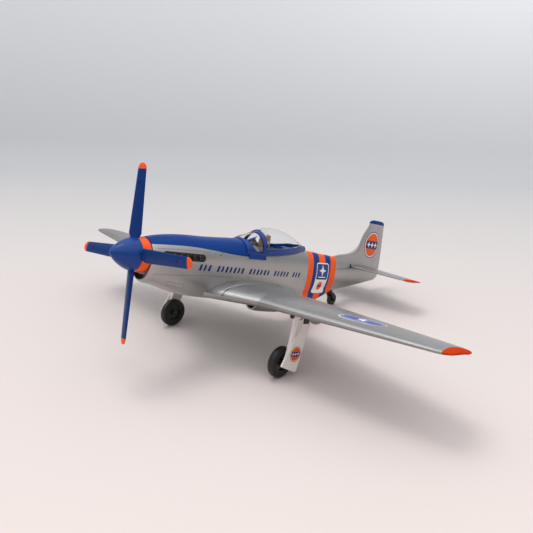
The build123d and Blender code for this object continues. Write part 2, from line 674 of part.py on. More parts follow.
# --- scoop and tail -----------------------------------------------------------------------------
def scoop_face(station, inset=0.0, count=20):
    y, middle, bottom, width = station
    points = []
    for i in range(count):
        angle = 2 * pi * (i + 0.5) / count
        height = 3.0 - inset if sin(angle) >= 0 else middle - bottom - inset
        x, z = superpoint(angle, width - inset, height, 2.6)
        points.append((x, y, middle + z))
    return closed_face(points)


def build_scoop(outer_body):
    shell = loft([scoop_face(s) for s in SCOOP_SECTIONS])
    throat = [(102.0,) + SCOOP_SECTIONS[0][1:], SCOOP_SECTIONS[1], SCOOP_SECTIONS[3],
              (150.0, -16.0, -24.6, 5.4)]
    shell -= loft([scoop_face(s, 1.0) for s in throat])
    envelope = half_wing_envelope()
    shell = largest(shell - outer_body - envelope)
    grille = extrude(scoop_face((111.0, -17.0, -29.2, 6.0), 1.0), amount=1.0, dir=(0, 1, 0))
    grille = grille - outer_body - envelope
    for i in range(6):
        x = -4.9 + 1.7 * i
        grille -= box_between((x, 110.5, -27.4), (x + 1.2, 112.5, -22.3))
    return shell, largest(grille)


def tail_section(x, shrink=0.0, flatten=1.0):
    leading = TAIL_LE[0] + TAIL_LE[1] * abs(x)
    trailing = TAIL_TE[0] + TAIL_TE[1] * abs(x)
    chord = trailing - leading
    leading += 0.45 * shrink * chord
    trailing -= 0.55 * shrink * chord
    return aerofoil(x, leading, trailing, TAIL_Z, TAIL_Z, TAIL_THICKNESS * flatten, 0.0, count=10)


def build_tailplane():
    stops = [(46.0, 0.0, 1.0), (48.0, 0.08, 0.9), (49.2, 0.22, 0.7), (TAIL_HALF_SPAN, 0.45, 0.35)]
    port = loft([tail_section(0.0), tail_section(46.0)], ruled=True)
    port += loft([tail_section(*s) for s in stops])
    return port + mirrored(port)


def tail_wheel_height():
    """Height of the tail axle that puts all three tyres on one plane."""
    angle = radians(STANDING_ANGLE)
    ground = -LEG_Y * sin(angle) + WHEEL_Z * cos(angle) - TYRE_RADIUS
    return (ground + TAIL_TYRE_RADIUS + TAIL_WHEEL_Y * sin(angle)) / cos(angle)


def build_tail_wheel():
    z = tail_wheel_height()
    y = TAIL_WHEEL_Y
    post = rod("z", (0, 184.4, -16.4), 6.0, 1.3)
    neck = box_between((-2.7, 182.8, -17.2), (2.7, 186.0, -15.4))
    strut = post + neck
    for side in (1, -1):
        arm = polygon_face([(side * 2.3, 183.0, -15.8), (side * 2.3, 186.0, -15.8),
                            (side * 2.3, y + 1.2, z), (side * 2.3, y - 1.2, z - 0.4)])
        strut += extrude(arm, amount=0.4, dir=(1, 0, 0), both=True)
        strut += rod("x", (side * 2.3 - 0.4, y, z), 0.8, 1.3)
    strut -= rod("x", (-4, y, z), 8.0, 0.6)
    strut -= rod("x", (-TAIL_TYRE_WIDTH / 2 - 0.3, y, z), TAIL_TYRE_WIDTH + 0.6, TAIL_TYRE_RADIUS + 0.4)
    axle = rod("x", (-3.0, y, z), 6.0, 0.6)
    axle += rod("x", (2.7, y, z), 0.5, 1.0) + rod("x", (-3.2, y, z), 0.5, 1.0)
    hub = rod("x", (-1.4, y, z), 2.8, 2.2, 0.6 + RUNNING)
    tyre = ring_tyre((0, y, z), TAIL_TYRE_RADIUS, TAIL_TYRE_WIDTH, 2.2)
    return strut, axle, hub, tyre


def ring_tyre(centre, radius, width, bore):
    """Tyre with rounded shoulders, turned about an axis along X."""
    x, y, z = centre
    blank = rod("x", (x - width / 2, y, z), width, radius)
    rims = [e for e in blank.edges() if e.geom_type == GeomType.CIRCLE]
    blank = fillet(rims, width * 0.36)
    return blank - rod("x", (x - width, y, z), 2 * width, bore)


# --- main undercarriage, port side ---------------------------------------------------------------
def door_outline():
    return [(88.8, -17.7), (96.0, -17.7), (95.7, -24.0), (93.9, -34.0), (92.2, -47.6), (91.0, -48.4),
            (79.2, -44.6), (79.4, -43.6), (83.2, -34.2), (87.8, -26.0), (88.8, -23.0)]


def build_leg():
    lug = rod("y", (FOLD_X, LUG_FRONT, FOLD_Z), LUG_BACK - LUG_FRONT, LUG_RADIUS)
    lug += rod("y", (FOLD_X, LUG_FRONT - 0.2, FOLD_Z), 0.3, LUG_RADIUS - 0.35)
    shank = polygon_face([(FOLD_X, 82.2, FOLD_Z), (FOLD_X, 86.0, FOLD_Z), (FOLD_X, 86.0, -30.0),
                          (FOLD_X, 85.9, WHEEL_Z), (FOLD_X, 83.1, WHEEL_Z), (FOLD_X, 84.0, -33.0),
                          (FOLD_X, 84.1, -22.4), (FOLD_X, 83.6, -20.2)])
    leg = lug + extrude(shank, amount=1.0, dir=(1, 0, 0), both=True)
    leg += rod("x", (FOLD_X - 1.0, LEG_Y, WHEEL_Z), 2.0, 2.0)
    leg -= rod("y", (FOLD_X, 80.0, FOLD_Z), 10.0, PIN_RADIUS + RUNNING)
    return leg - rod("x", (FOLD_X - 2, LEG_Y, WHEEL_Z), 4.0, AXLE_RADIUS)


def build_door():
    plate = extrude(polygon_face([(DOOR_X, y, z) for y, z in door_outline()]), amount=DOOR_THICKNESS,
                    dir=(1, 0, 0))
    window = box_between((DOOR_X - 1, 89.2, -21.2), (DOOR_X + 2, 94.6, -18.2))
    insert = box_between((DOOR_X, 89.2, -21.2), (DOOR_X + 0.6, 94.6, -18.2))
    insert += box_between((DOOR_X + 0.5, 90.0, -20.6), (DOOR_X + 0.85, 93.8, -18.9))
    plate -= window
    return plate, insert


def build_main_gear():
    """Leg, door, insert, fold pin, axle, hub and tyre of the port side."""
    door, insert = build_door()
    pin = rod("y", (FOLD_X, LUG_FRONT - 0.5, FOLD_Z), EAR_BACK - LUG_FRONT + 0.5, PIN_RADIUS)
    pin += rod("y", (FOLD_X, LUG_FRONT - 0.95, FOLD_Z), 0.6, PIN_RADIUS + 0.3)
    inner_end = WHEEL_X - TYRE_WIDTH / 2 - 0.2
    axle = rod("x", (inner_end, LEG_Y, WHEEL_Z), FOLD_X + 1.0 - inner_end, AXLE_RADIUS)
    axle += rod("x", (inner_end - 0.05, LEG_Y, WHEEL_Z), 0.4, 1.5)
    hub_start = WHEEL_X - TYRE_WIDTH / 2 + 0.3
    hub = rod("x", (hub_start, LEG_Y, WHEEL_Z), TYRE_WIDTH - 0.6, HUB_RADIUS, AXLE_RADIUS + RUNNING)
    hub -= rod("x", (hub_start - 1, LEG_Y, WHEEL_Z), 2.0, HUB_RADIUS - 0.7, 2.0)
    hub -= rod("x", (hub_start + TYRE_WIDTH - 1.6, LEG_Y, WHEEL_Z), 2.0, HUB_RADIUS - 0.7, 2.0)
    tyre = ring_tyre((WHEEL_X, LEG_Y, WHEEL_Z), TYRE_RADIUS, TYRE_WIDTH, HUB_RADIUS)
    return {"gear_leg": build_leg(), "gear_door": door, "gear_door_insert": insert,
            "gear_fold_pin": pin, "wheel_axle": axle, "wheel_hub": hub, "tyre": tyre}


# --- assembly -----------------------------------------------------------------------------------
def build_parts():
    outer_body = fuselage_outer()
    wing = build_wing(outer_body)
    tailplane = build_tailplane()
    scoop, radiator = build_scoop(outer_body)
    port_half, starboard_half = split_casting(build_casting(outer_body, tailplane))
    propeller = build_propeller()
    bearing, shaft, collar, chin_bars = build_nose_parts()
    windscreen_frame, windscreen_glass = build_windscreen(outer_body)
    canopy_frame, canopy_glass = build_canopy()
    tub, seat, panel, stick = build_cockpit()
    strut, tail_axle, tail_hub, tail_tyre = build_tail_wheel()
    exhausts = exhaust()
    parts = {
        "fuselage_left_half": port_half, "fuselage_right_half": starboard_half, "wing": wing,
        "tailplane": tailplane, "radiator_scoop": scoop, "radiator_grille": radiator,
        "chin_intake_grille": chin_bars, "nose_bearing": bearing, "propeller_shaft": shaft,
        "shaft_collar": collar, "propeller": propeller, "spinner": build_spinner(propeller),
        "spinner_ring": build_ring(propeller), "left_exhaust": exhausts,
        "right_exhaust": mirrored(exhausts), "cockpit_tub": tub, "pilot_seat": seat,
        "instrument_panel": panel, "control_stick": stick, "windscreen_frame": windscreen_frame,
        "windscreen_glass": windscreen_glass, "canopy_frame": canopy_frame,
        "canopy_glass": canopy_glass, "tail_wheel_strut": strut, "tail_wheel_axle": tail_axle,
        "tail_wheel_hub": tail_hub, "tail_tyre": tail_tyre,
        "wing_screws": Compound(children=[Solid(s.solid().wrapped) for s in
                                          [screw(x, y) for x, y in SCREW_PLACES]]),
    }
    for name, piece in build_main_gear().items():
        parts["left_" + name] = piece
        parts["right_" + name] = mirrored(piece)
    return parts


def stand_up(parts):
    """Tip every piece to the standing attitude and move the origin under the middle of the outline."""
    tipped = {name: Rot(X=-STANDING_ANGLE) * piece for name, piece in parts.items()}
    box = Compound(children=[Compound(children=p.solids()) for p in tipped.values()]).bounding_box()
    middle = (box.min.Y + box.max.Y) / 2
    angle = radians(STANDING_ANGLE)
    ground = -LEG_Y * sin(angle) + WHEEL_Z * cos(angle) - TYRE_RADIUS
    shift = Pos(0, -middle, -ground)
    return {name: shift * piece for name, piece in tipped.items()}, (middle, ground)


def main():
    os.makedirs("parts", exist_ok=True)
    parts, origin = stand_up(build_parts())
    for name, piece in parts.items():
        export_step(piece, "parts/" + name + ".step")
    print("origin in the datum frame after tipping:", origin)


if __name__ == "__main__":
    main()
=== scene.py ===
import json
import math

import bpy
import numpy as np
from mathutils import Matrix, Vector
from mathutils.bvhtree import BVHTree


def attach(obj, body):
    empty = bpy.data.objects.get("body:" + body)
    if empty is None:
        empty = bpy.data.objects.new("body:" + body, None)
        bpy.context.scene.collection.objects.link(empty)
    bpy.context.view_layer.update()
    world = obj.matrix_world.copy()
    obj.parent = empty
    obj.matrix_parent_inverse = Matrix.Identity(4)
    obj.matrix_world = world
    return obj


# The look of a die-cast propeller fighter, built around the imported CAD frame. Shapes are worked out in the
# aeroplane's own datum frame in millimetres (X to port, Y aft from the spinner tip, Z up from the thrust
# line) and stood up into the row frame by place().

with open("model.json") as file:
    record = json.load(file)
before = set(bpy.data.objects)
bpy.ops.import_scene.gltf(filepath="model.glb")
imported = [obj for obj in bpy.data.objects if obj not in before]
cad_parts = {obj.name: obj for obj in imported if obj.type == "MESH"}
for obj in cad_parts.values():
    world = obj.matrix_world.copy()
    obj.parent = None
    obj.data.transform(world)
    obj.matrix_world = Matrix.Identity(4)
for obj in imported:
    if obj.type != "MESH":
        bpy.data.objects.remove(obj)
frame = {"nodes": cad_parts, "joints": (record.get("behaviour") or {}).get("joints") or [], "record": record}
NODES = frame["nodes"]
JOINTS = {j["name"]: j for j in frame["joints"]}


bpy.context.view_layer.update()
ANGLE = math.radians(15.0)                 # how far the model stands nose-up
COS, SIN = math.cos(ANGLE), math.sin(ANGLE)
PROP_PLANE = 12.5                          # datum Y of the propeller joint
PROP_POS = JOINTS["propeller_spin"]["pos_m"]
MID = PROP_PLANE * COS - PROP_POS[1] * 1000
GROUND = -PROP_PLANE * SIN - PROP_POS[2] * 1000


def place(points):
    """Datum millimetres to row-frame metres."""
    p = np.asarray(points, float).reshape(-1, 3)
    x, y, z = p.T
    return np.stack([x, y * COS + z * SIN - MID, -y * SIN + z * COS - GROUND], 1) / 1000


def turn(direction):
    """A datum direction in the row frame."""
    x, y, z = direction
    return Vector((x, y * COS + z * SIN, -y * SIN + z * COS))


# --- materials ----------------------------------------------------------------------------------
PEEL_DEPTH = 0.00004                       # metres


def srgb(r, g, b):
    """Linear colour from 0-255 values."""
    return tuple((v / 255 / 12.92) if v / 255 <= 0.04045 else ((v / 255 + 0.055) / 1.055) ** 2.4
                 for v in (r, g, b)) + (1.0,)


def new_material(name, colour, metallic=0.0, rough=0.4, coat=0.0, spec=0.5):
    """A material and its Principled node, with the values that are the same all over."""
    material = bpy.data.materials.new(name)
    material.use_nodes = True
    shader = material.node_tree.nodes["Principled BSDF"]
    shader.inputs["Base Color"].default_value = colour
    shader.inputs["Metallic"].default_value = metallic
    shader.inputs["Roughness"].default_value = rough
    shader.inputs["Coat Weight"].default_value = coat
    shader.inputs["Coat Roughness"].default_value = 0.08
    shader.inputs["Specular IOR Level"].default_value = spec
    return material, shader


def noise_node(tree, scale, detail, rough=0.55):
    """Noise over the object's own coordinates."""
    coord = tree.nodes.new("ShaderNodeTexCoord")
    node = tree.nodes.new("ShaderNodeTexNoise")
    node.inputs["Scale"].default_value = scale
    node.inputs["Detail"].default_value = detail
    node.inputs["Roughness"].default_value = rough
    tree.links.new(coord.outputs["Object"], node.inputs["Vector"])
    return node


def ramp(tree, source, low, high, a, b):
    """Map a 0-1 value between low and high to colours a and b."""
    node = tree.nodes.new("ShaderNodeValToRGB")
    node.color_ramp.elements[0].position = low
    node.color_ramp.elements[1].position = high
    node.color_ramp.elements[0].color = a
    node.color_ramp.elements[1].color = b
    tree.links.new(source, node.inputs["Fac"])
    return node.outputs["Color"]


def remap(tree, source, low, high):
    """Map a 0-1 value to low-high."""
    node = tree.nodes.new("ShaderNodeMapRange")
    node.inputs["To Min"].default_value = low
    node.inputs["To Max"].default_value = high
    tree.links.new(source, node.inputs["Value"])
    return node.outputs["Result"]


def bump(tree, source, strength, distance, target):
    """Feed a height into a normal socket."""
    node = tree.nodes.new("ShaderNodeBump")
    node.inputs["Strength"].default_value = strength
    node.inputs["Distance"].default_value = distance
    tree.links.new(source, node.inputs["Height"])
    tree.links.new(node.outputs["Normal"], target)


def scaled(colour, k):
    """A colour made k times as bright, up to white."""
    return tuple(min(c * k, 1.0) for c in colour[:3]) + (1.0,)


def paint(name, colour, metallic=0.0, rough=(0.2, 0.3), coat=0.5, tone=0.06, fine=900.0, grain=0.15,
          spec=0.5):
    """Sprayed enamel: slight clouding, orange peel, and roughness that varies."""
    material, shader = new_material(name, colour, metallic, rough[0], coat, spec)
    tree = material.node_tree
    cloud = noise_node(tree, 45.0, 4.0)
    col = ramp(tree, cloud.outputs["Fac"], 0.3, 0.7, scaled(colour, 1 - tone), scaled(colour, 1 + tone))
    tree.links.new(col, shader.inputs["Base Color"])
    smudge = noise_node(tree, 120.0, 5.0, 0.6)
    tree.links.new(remap(tree, smudge.outputs["Fac"], rough[0], rough[1]), shader.inputs["Roughness"])
    peel = noise_node(tree, fine, 2.0)
    bump(tree, peel.outputs["Fac"], grain, PEEL_DEPTH, shader.inputs["Normal"])
    return material


SILVER = srgb(171, 169, 168)
SILVER_METAL = 0.86
BLUE = srgb(10, 56, 126)
ORANGE = srgb(238, 90, 30)
SHADED_TIP_ORANGE = srgb(190, 62, 26)             # painted shade: a darker copy of the orange for the wing and tailplane tips, which lie flat under the light
WING_PAINTED_SHADE = 0.86                          # painted shade: how much darker the silver of the wing and tailplane is made than the fuselage's
BLADE_PAINTED_SHADE = 0.74                         # painted shade: how much darker the blue of the propeller blades is made than the fuselage's
LOOKS = {}
LOOKS["silver"] = paint("silver_enamel", SILVER, metallic=SILVER_METAL, rough=(0.34, 0.5), coat=0.06,
                        tone=0.05, fine=3500.0, grain=0.12)
LOOKS["blue"] = paint("blue_enamel", BLUE, rough=(0.2, 0.3), coat=0.0, spec=0.3)
LOOKS["orange"] = paint("orange_enamel", ORANGE, rough=(0.28, 0.38), coat=0.0, spec=0.15)
LOOKS["white"] = paint("white_enamel", srgb(232, 226, 218), rough=(0.35, 0.45), coat=0.2)
LOOKS["door"] = paint("door_enamel", srgb(236, 228, 220), rough=(0.35, 0.45), coat=0.2)
LOOKS["black"] = paint("black_enamel", srgb(20, 19, 19), rough=(0.35, 0.5), coat=0.1)
LOOKS["rubber"] = paint("tyre_rubber", srgb(19, 18, 18), rough=(0.3, 0.42), coat=0.0, fine=2500.0, grain=0.2)
LOOKS["hub"] = paint("hub_plastic", srgb(30, 30, 30), rough=(0.22, 0.32), coat=0.3)
LOOKS["steel"] = paint("zinc_steel", srgb(150, 147, 142), metallic=1.0, rough=(0.25, 0.4), coat=0.0)
LOOKS["interior"] = paint("cockpit_grey", srgb(62, 64, 66), rough=(0.5, 0.62), coat=0.0, fine=2500.0,
                          grain=0.3)
LOOKS["seat"] = paint("seat_tan", srgb(168, 126, 98), rough=(0.5, 0.65), coat=0.0, fine=2500.0, grain=0.35)
LOOKS["dark"] = paint("grille_dark", srgb(28, 28, 30), rough=(0.45, 0.6), coat=0.0)
LOOKS["nylon"] = paint("bearing_nylon", srgb(46, 46, 48), rough=(0.5, 0.6), coat=0.0)
LOOKS["navy"] = paint("navy_print", srgb(20, 38, 104), rough=(0.35, 0.45), coat=0.0, spec=0.25)
# Darker silver for the panel lines: painted shade inside the engraved grooves.
LOOKS["groove_shade"] = paint("panel_groove_shade", srgb(112, 110, 108), metallic=0.5, rough=(0.4, 0.5), coat=0.0)
LOOKS["lavender"] = paint("flash_blue", srgb(92, 104, 180), rough=(0.32, 0.42), coat=0.0)


def clear(name):
    """Clear moulding with a faint haze that varies."""
    material, shader = new_material(name, (0.95, 0.965, 0.975, 1.0), 0.0, 0.03, spec=0.35)
    shader.inputs["Transmission Weight"].default_value = 1.0
    shader.inputs["IOR"].default_value = 1.07
    tree = material.node_tree
    haze = noise_node(tree, 60.0, 2.0)
    tree.links.new(remap(tree, haze.outputs["Fac"], 0.02, 0.05), shader.inputs["Roughness"])
    return material


LOOKS["clear"] = clear("clear_styrene")

SLOT_LOOK = {
    "fuselage_livery": "silver", "wing_livery": "silver", "blue_paint": "blue", "orange_paint": "orange",
    "door_white": "door", "leg_white": "door", "black_paint": "black", "black_rubber": "rubber",
    "hub_black": "hub", "steel": "steel", "bearing_plastic": "nylon", "clear_plastic": "clear",
    "interior_grey": "interior", "seat_tan": "seat", "dark_grille": "dark"}
for row in frame["record"]["subparts"]:
    node = NODES[row["node"]]
    node.data.materials.clear()
    node.data.materials.append(LOOKS[SLOT_LOOK[row["material_slot"]]])

for axle in ("left_wheel_axle", "right_wheel_axle", "tail_wheel_axle"):
    NODES[axle].data.materials[0] = LOOKS["hub"]


# --- livery painted on the castings -------------------------------------------------------------
PAINT_EDGE = 0.06                          # width of a border between two paints, in millimetres


class Maths:
    """Writes arithmetic as shader nodes."""

    def __init__(self, tree):
        self.tree = tree

    def do(self, operation, a, b=None, c=None, clamp=False):
        """One sum of up to three values or sockets."""
        node = self.tree.nodes.new("ShaderNodeMath")
        node.operation = operation
        node.use_clamp = clamp
        for k, v in enumerate((a, b, c)):
            if v is None:
                continue
            if isinstance(v, (int, float)):
                node.inputs[k].default_value = v
            else:
                self.tree.links.new(v, node.inputs[k])
        return node.outputs[0]

    def above(self, value, limit):
        """0 below a limit and 1 above it, with a narrow soft edge."""
        return self.do("MULTIPLY_ADD", self.do("SUBTRACT", value, limit), 1 / PAINT_EDGE, 0.5, clamp=True)

    def below(self, value, limit):
        """1 below a limit and 0 above it."""
        return self.do("SUBTRACT", 1.0, self.above(value, limit))

    def both(self, *masks):
        """Where all the masks are 1."""
        out = masks[0]
        for m in masks[1:]:
            out = self.do("MULTIPLY", out, m)
        return out

    def either(self, *masks):
        """Where any of the masks is 1."""
        out = masks[0]
        for m in masks[1:]:
            out = self.do("MAXIMUM", out, m)
        return out

    def curve(self, value, points, bottom, top):
        """A smooth function given by a few points, whose values lie between bottom and top."""
        low, high = points[0][0], points[-1][0]
        share = self.do("DIVIDE", self.do("SUBTRACT", value, low), high - low, clamp=True)
        node = self.tree.nodes.new("ShaderNodeFloatCurve")
        knots = node.mapping.curves[0].points
        for k, (x, y) in enumerate(points):
            px, py = (x - low) / (high - low), (y - bottom) / (top - bottom)
            if k < 2:
                knots[k].location = (px, py)
            else:
                knots.new(px, py)
        node.mapping.update()
        self.tree.links.new(share, node.inputs["Value"])
        return self.do("MULTIPLY_ADD", node.outputs["Value"], top - bottom, bottom)


def datum_axes(tree):
    """Datum X, Y, Z in millimetres from object coordinates."""
    coord = tree.nodes.new("ShaderNodeTexCoord")
    node = tree.nodes.new("ShaderNodeMapping")
    node.inputs["Scale"].default_value = (1000, 1000, 1000)
    node.inputs["Rotation"].default_value = (ANGLE, 0, 0)
    node.inputs["Location"].default_value = (0, MID * COS - GROUND * SIN, MID * SIN + GROUND * COS)
    tree.links.new(coord.outputs["Object"], node.inputs["Vector"])
    split = tree.nodes.new("ShaderNodeSeparateXYZ")
    tree.links.new(node.outputs["Vector"], split.inputs[0])
    return split.outputs[0], split.outputs[1], split.outputs[2]


# Where the paint changes colour, in datum millimetres.
NOSE_BORDER = [(14.0, 6.3), (28.0, 7.4), (42.0, 7.7), (56.0, 7.1), (71.0, 6.0), (90.0, 5.4)]     # Y, Z
NOSE_BACK = 88.0
RAIL_EDGE = [(98.0, 9.2), (111.0, 8.8), (119.0, 7.9), (127.0, 6.5), (134.5, 4.7), (143.0, 1.4)]  # Y, X
DECK_DROP, DECK_LOW = -0.11, -3.0          # the blue cockpit deck ends at Z = DECK_LOW - DECK_DROP * Y
BANDS = (144.7, 151.1, 158.05, 165.6, 172.3, 179.4)
BAND_BOW = 1.7                             # how far the bands bow forward at the side
BAND_TAPER, BAND_HALF_WIDTH = -0.080, 19.6  # half width of the rear fuselage as slope and start
BAND_LEAN, BAND_LEAN_REACH = -0.05, 0.8    # how the bands lean aft below the thrust line
WING_TIP_PAINT = 136.9
STARBOARD_TIP_PAINT = 139.4
TAIL_TIP_PAINT = 44.6
FIN_CAP_PAINT = 38.2
FIN_FRONT = 200.0


def mix_colour(tree, fac, a, b):
    """Colour a where the mask is 0 and colour b where it is 1. Either is a value or a socket."""
    node = tree.nodes.new("ShaderNodeMix")
    node.data_type = "RGBA"
    tree.links.new(fac, node.inputs[0])
    for socket, value in ((node.inputs[6], a), (node.inputs[7], b)):
        if isinstance(value, tuple):
            socket.default_value = value
        else:
            tree.links.new(value, socket)
    return node.outputs[2]


def livery(name, parts, spec):
    """Silver enamel with the painted areas that the named parts of the aeroplane carry."""
    material, shader = new_material(name, SILVER, 0.0, 0.3, 0.0, spec)
    tree = material.node_tree
    maths = Maths(tree)
    x, y, z = datum_axes(tree)
    side = maths.do("ABSOLUTE", x)
    cloud = noise_node(tree, 30.0, 4.0)
    # Painted shade: the wing and tailplane carry a darker copy of the fuselage silver.
    shade = 1.0 if "body" in parts else WING_PAINTED_SHADE
    silver = ramp(tree, cloud.outputs["Fac"], 0.3, 0.7, scaled(SILVER, 0.94 * shade),
                  scaled(SILVER, 1.05 * shade))
    blue = orange = None
    if "body" in parts:
        border = maths.curve(y, NOSE_BORDER, 0.0, 10.0)
        nose = maths.both(maths.above(maths.do("SUBTRACT", z, border), 0.0), maths.below(y, NOSE_BACK))
        half_width = maths.do("MULTIPLY_ADD", y, BAND_TAPER, BAND_HALF_WIDTH)
        reach = maths.do("POWER", maths.do("DIVIDE", side, half_width, clamp=True), 2.0)
        bow = maths.do("MULTIPLY", reach, BAND_BOW)
        low = maths.do("MULTIPLY", maths.do("MULTIPLY", z, BAND_LEAN, clamp=True), BAND_LEAN_REACH)
        along = maths.do("SUBTRACT", maths.do("ADD", y, bow), low)
        inside = [maths.both(maths.above(along, a), maths.below(along, c)) for a, c in zip(BANDS, BANDS[1:])]
        orange = maths.either(inside[0], inside[2], inside[4])
        blue = maths.either(nose, inside[1], inside[3])
        cap = maths.both(maths.above(z, FIN_CAP_PAINT), maths.above(y, FIN_FRONT))
        rail = maths.curve(y, RAIL_EDGE, 0.0, 10.0)
        along_deck = maths.both(maths.above(y, RAIL_EDGE[0][0]), maths.below(y, RAIL_EDGE[-1][0]))
        over_deck = maths.above(maths.do("MULTIPLY_ADD", y, DECK_DROP, z), DECK_LOW)
        inside_rail = maths.below(maths.do("SUBTRACT", side, rail), 0.0)
        deck = maths.both(inside_rail, along_deck, over_deck)
        blue = maths.either(blue, cap, deck)
    if "wing" in parts:
        orange = maths.either(maths.above(x, WING_TIP_PAINT), maths.below(x, -STARBOARD_TIP_PAINT))
    if "tail" in parts:
        orange = maths.above(side, TAIL_TIP_PAINT)
    # The wing and tailplane tips take the darker orange, which is painted shade.
    colour = mix_colour(tree, orange, silver, ORANGE if "body" in parts else SHADED_TIP_ORANGE)
    painted = orange
    if blue is not None:
        colour = mix_colour(tree, blue, colour, BLUE)
        painted = maths.either(orange, blue)
    tree.links.new(colour, shader.inputs["Base Color"])
    tree.links.new(maths.do("MULTIPLY_ADD", painted, -SILVER_METAL, SILVER_METAL), shader.inputs["Metallic"])
    smudge = noise_node(tree, 120.0, 5.0, 0.6)
    tree.links.new(remap(tree, smudge.outputs["Fac"], 0.24, 0.40), shader.inputs["Roughness"])
    peel = noise_node(tree, 2600.0, 2.0)
    bump(tree, peel.outputs["Fac"], 0.10, PEEL_DEPTH, shader.inputs["Normal"])
    return material


BLADE_TIP_PAINT = 42.0
MARK_INNER, MARK_OUTER, MARK_HALF = 34.6, 35.5, 0.9
BLADE_LEAN = math.radians(6.8)             # how far the propeller has turned from upright


def propeller_paint():
    """Blue blades darkened by painted shade, with orange tips and a small dark mark inboard of each tip."""
    # The blade blue is a darker copy of the body blue: painted shade.
    shaded_blade_blue = scaled(BLUE, BLADE_PAINTED_SHADE)
    material, shader = new_material("propeller_paint", shaded_blade_blue, 0.0, 0.3, 0.0, 0.15)
    tree = material.node_tree
    maths = Maths(tree)
    x, _, z = datum_axes(tree)
    radius = maths.do("SQRT", maths.do("ADD", maths.do("MULTIPLY", x, x), maths.do("MULTIPLY", z, z)))
    tip = maths.above(radius, BLADE_TIP_PAINT)
    cos, sin = math.cos(BLADE_LEAN), math.sin(BLADE_LEAN)
    along = maths.do("ADD", maths.do("MULTIPLY", z, cos), maths.do("MULTIPLY", x, -sin))
    across = maths.do("ADD", maths.do("MULTIPLY", x, cos), maths.do("MULTIPLY", z, sin))
    off_axis = maths.do("MINIMUM", maths.do("ABSOLUTE", along), maths.do("ABSOLUTE", across))
    mark = maths.both(maths.above(radius, MARK_INNER), maths.below(radius, MARK_OUTER),
                      maths.below(off_axis, MARK_HALF))
    cloud = noise_node(tree, 60.0, 3.0)
    base = ramp(tree, cloud.outputs["Fac"], 0.3, 0.7, scaled(shaded_blade_blue, 0.92),
                scaled(shaded_blade_blue, 1.08))
    colour = mix_colour(tree, mark, base, srgb(14, 20, 60))
    tree.links.new(mix_colour(tree, tip, colour, ORANGE), shader.inputs["Base Color"])
    smudge = noise_node(tree, 150.0, 4.0)
    tree.links.new(remap(tree, smudge.outputs["Fac"], 0.26, 0.38), shader.inputs["Roughness"])
    peel = noise_node(tree, 1500.0, 2.0)
    bump(tree, peel.outputs["Fac"], 0.08, PEEL_DEPTH, shader.inputs["Normal"])
    return material


NODES["propeller"].data.materials[0] = propeller_paint()
for names, look in (
        (("fuselage_left_half", "fuselage_right_half", "radiator_scoop"),
         livery("body_livery", ("body",), 0.1)),
        (("wing",), livery("wing_livery", ("wing",), 0.0)),
        (("tailplane",), livery("tail_livery", ("tail",), 0.0))):
    for name in names:
        NODES[name].data.materials[0] = look


# --- pieces that lie on the castings ------------------------------------------------------------
def tree_of(*names):
    """Search tree over the meshes of some CAD nodes, in row-frame metres."""
    points, faces = [], []
    for n in names:
        mesh = NODES[n].data
        start = len(points)
        points += [v.co.copy() for v in mesh.vertices]
        faces += [[start + i for i in p.vertices] for p in mesh.polygons]
    return BVHTree.FromPolygons(points, faces)


BODY = tree_of("fuselage_left_half", "fuselage_right_half", "radiator_scoop", "wing")
FIN = tree_of("fuselage_left_half", "fuselage_right_half")
WING = tree_of("wing")
DOORS = tree_of("left_gear_door", "right_gear_door")


def add_object(name, points, faces, look, body="airframe"):
    """Mesh piece from row-frame points, riding on a body."""
    mesh = bpy.data.meshes.new(name)
    mesh.from_pydata([tuple(p) for p in points], [], faces)
    mesh.update()
    obj = bpy.data.objects.new(name, mesh)
    bpy.context.scene.collection.objects.link(obj)
    mesh.materials.append(LOOKS[look])
    for p in mesh.polygons:
        p.use_smooth = True
    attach(obj, body)
    return obj


def cast(tree, origin, direction):
    """First row-frame point that a ray given in datum millimetres hits, or None."""
    start = Vector(place([origin])[0])
    return tree.ray_cast(start, turn(direction).normalized())[0]


def drape(tree, grid, lift, points, faces):
    """Add to a mesh a grid of rays, each (origin, direction), lifted a little off what it hits."""
    index = {}
    for i, line in enumerate(grid):
        for j, (origin, direction) in enumerate(line):
            hit = cast(tree, origin, direction)
            if hit is not None:
                index[i, j] = len(points)
                points.append(hit - turn(direction).normalized() * (lift / 1000))
    for i in range(len(grid) - 1):
        for j in range(len(grid[i]) - 1):
            quad = [(i, j), (i, j + 1), (i + 1, j + 1), (i + 1, j)]
            if all(q in index for q in quad):
                faces.append([index[q] for q in quad])


def lay(name, tree, grids, look, lift, body="airframe"):
    """Thin print on a surface, from a list of grids of rays."""
    points, faces = [], []
    for grid in grids:
        drape(tree, grid, lift, points, faces)
    obj = add_object(name, points, faces, look, body)
    flat = sum((p.normal for p in obj.data.polygons), Vector())
    if flat.dot(turn(grids[0][0][0][1])) > 0:
        obj.data.flip_normals()
    return obj


SIDE_REACH, TOP_REACH = 70.0, 60.0         # where the rays start, clear of the model, in datum millimetres


def from_side(side, places):
    """Rays from one side at (y, z) places."""
    return [[((side * SIDE_REACH, y, z), (-side, 0, 0)) for y, z in line] for line in places]


def from_above(places):
    """Rays from above at (x, y) places."""
    return [[((x, y, TOP_REACH), (0, 0, -1)) for x, y in line] for line in places]


def superellipse_patch(centre, half, power, rings, around):
    """Rings of a rounded patch in 2-D, from its middle to its edge."""
    lines = []
    for r in range(rings + 1):
        share = r / rings
        line = []
        for k in range(around + 1):
            a = 2 * math.pi * k / around
            c, s = math.cos(a), math.sin(a)
            px = abs(c) ** (2 / power) * math.copysign(1, c)
            py = abs(s) ** (2 / power) * math.copysign(1, s)
            line.append((centre[0] + half[0] * share * px, centre[1] + half[1] * share * py))
        lines.append(line)
    return lines


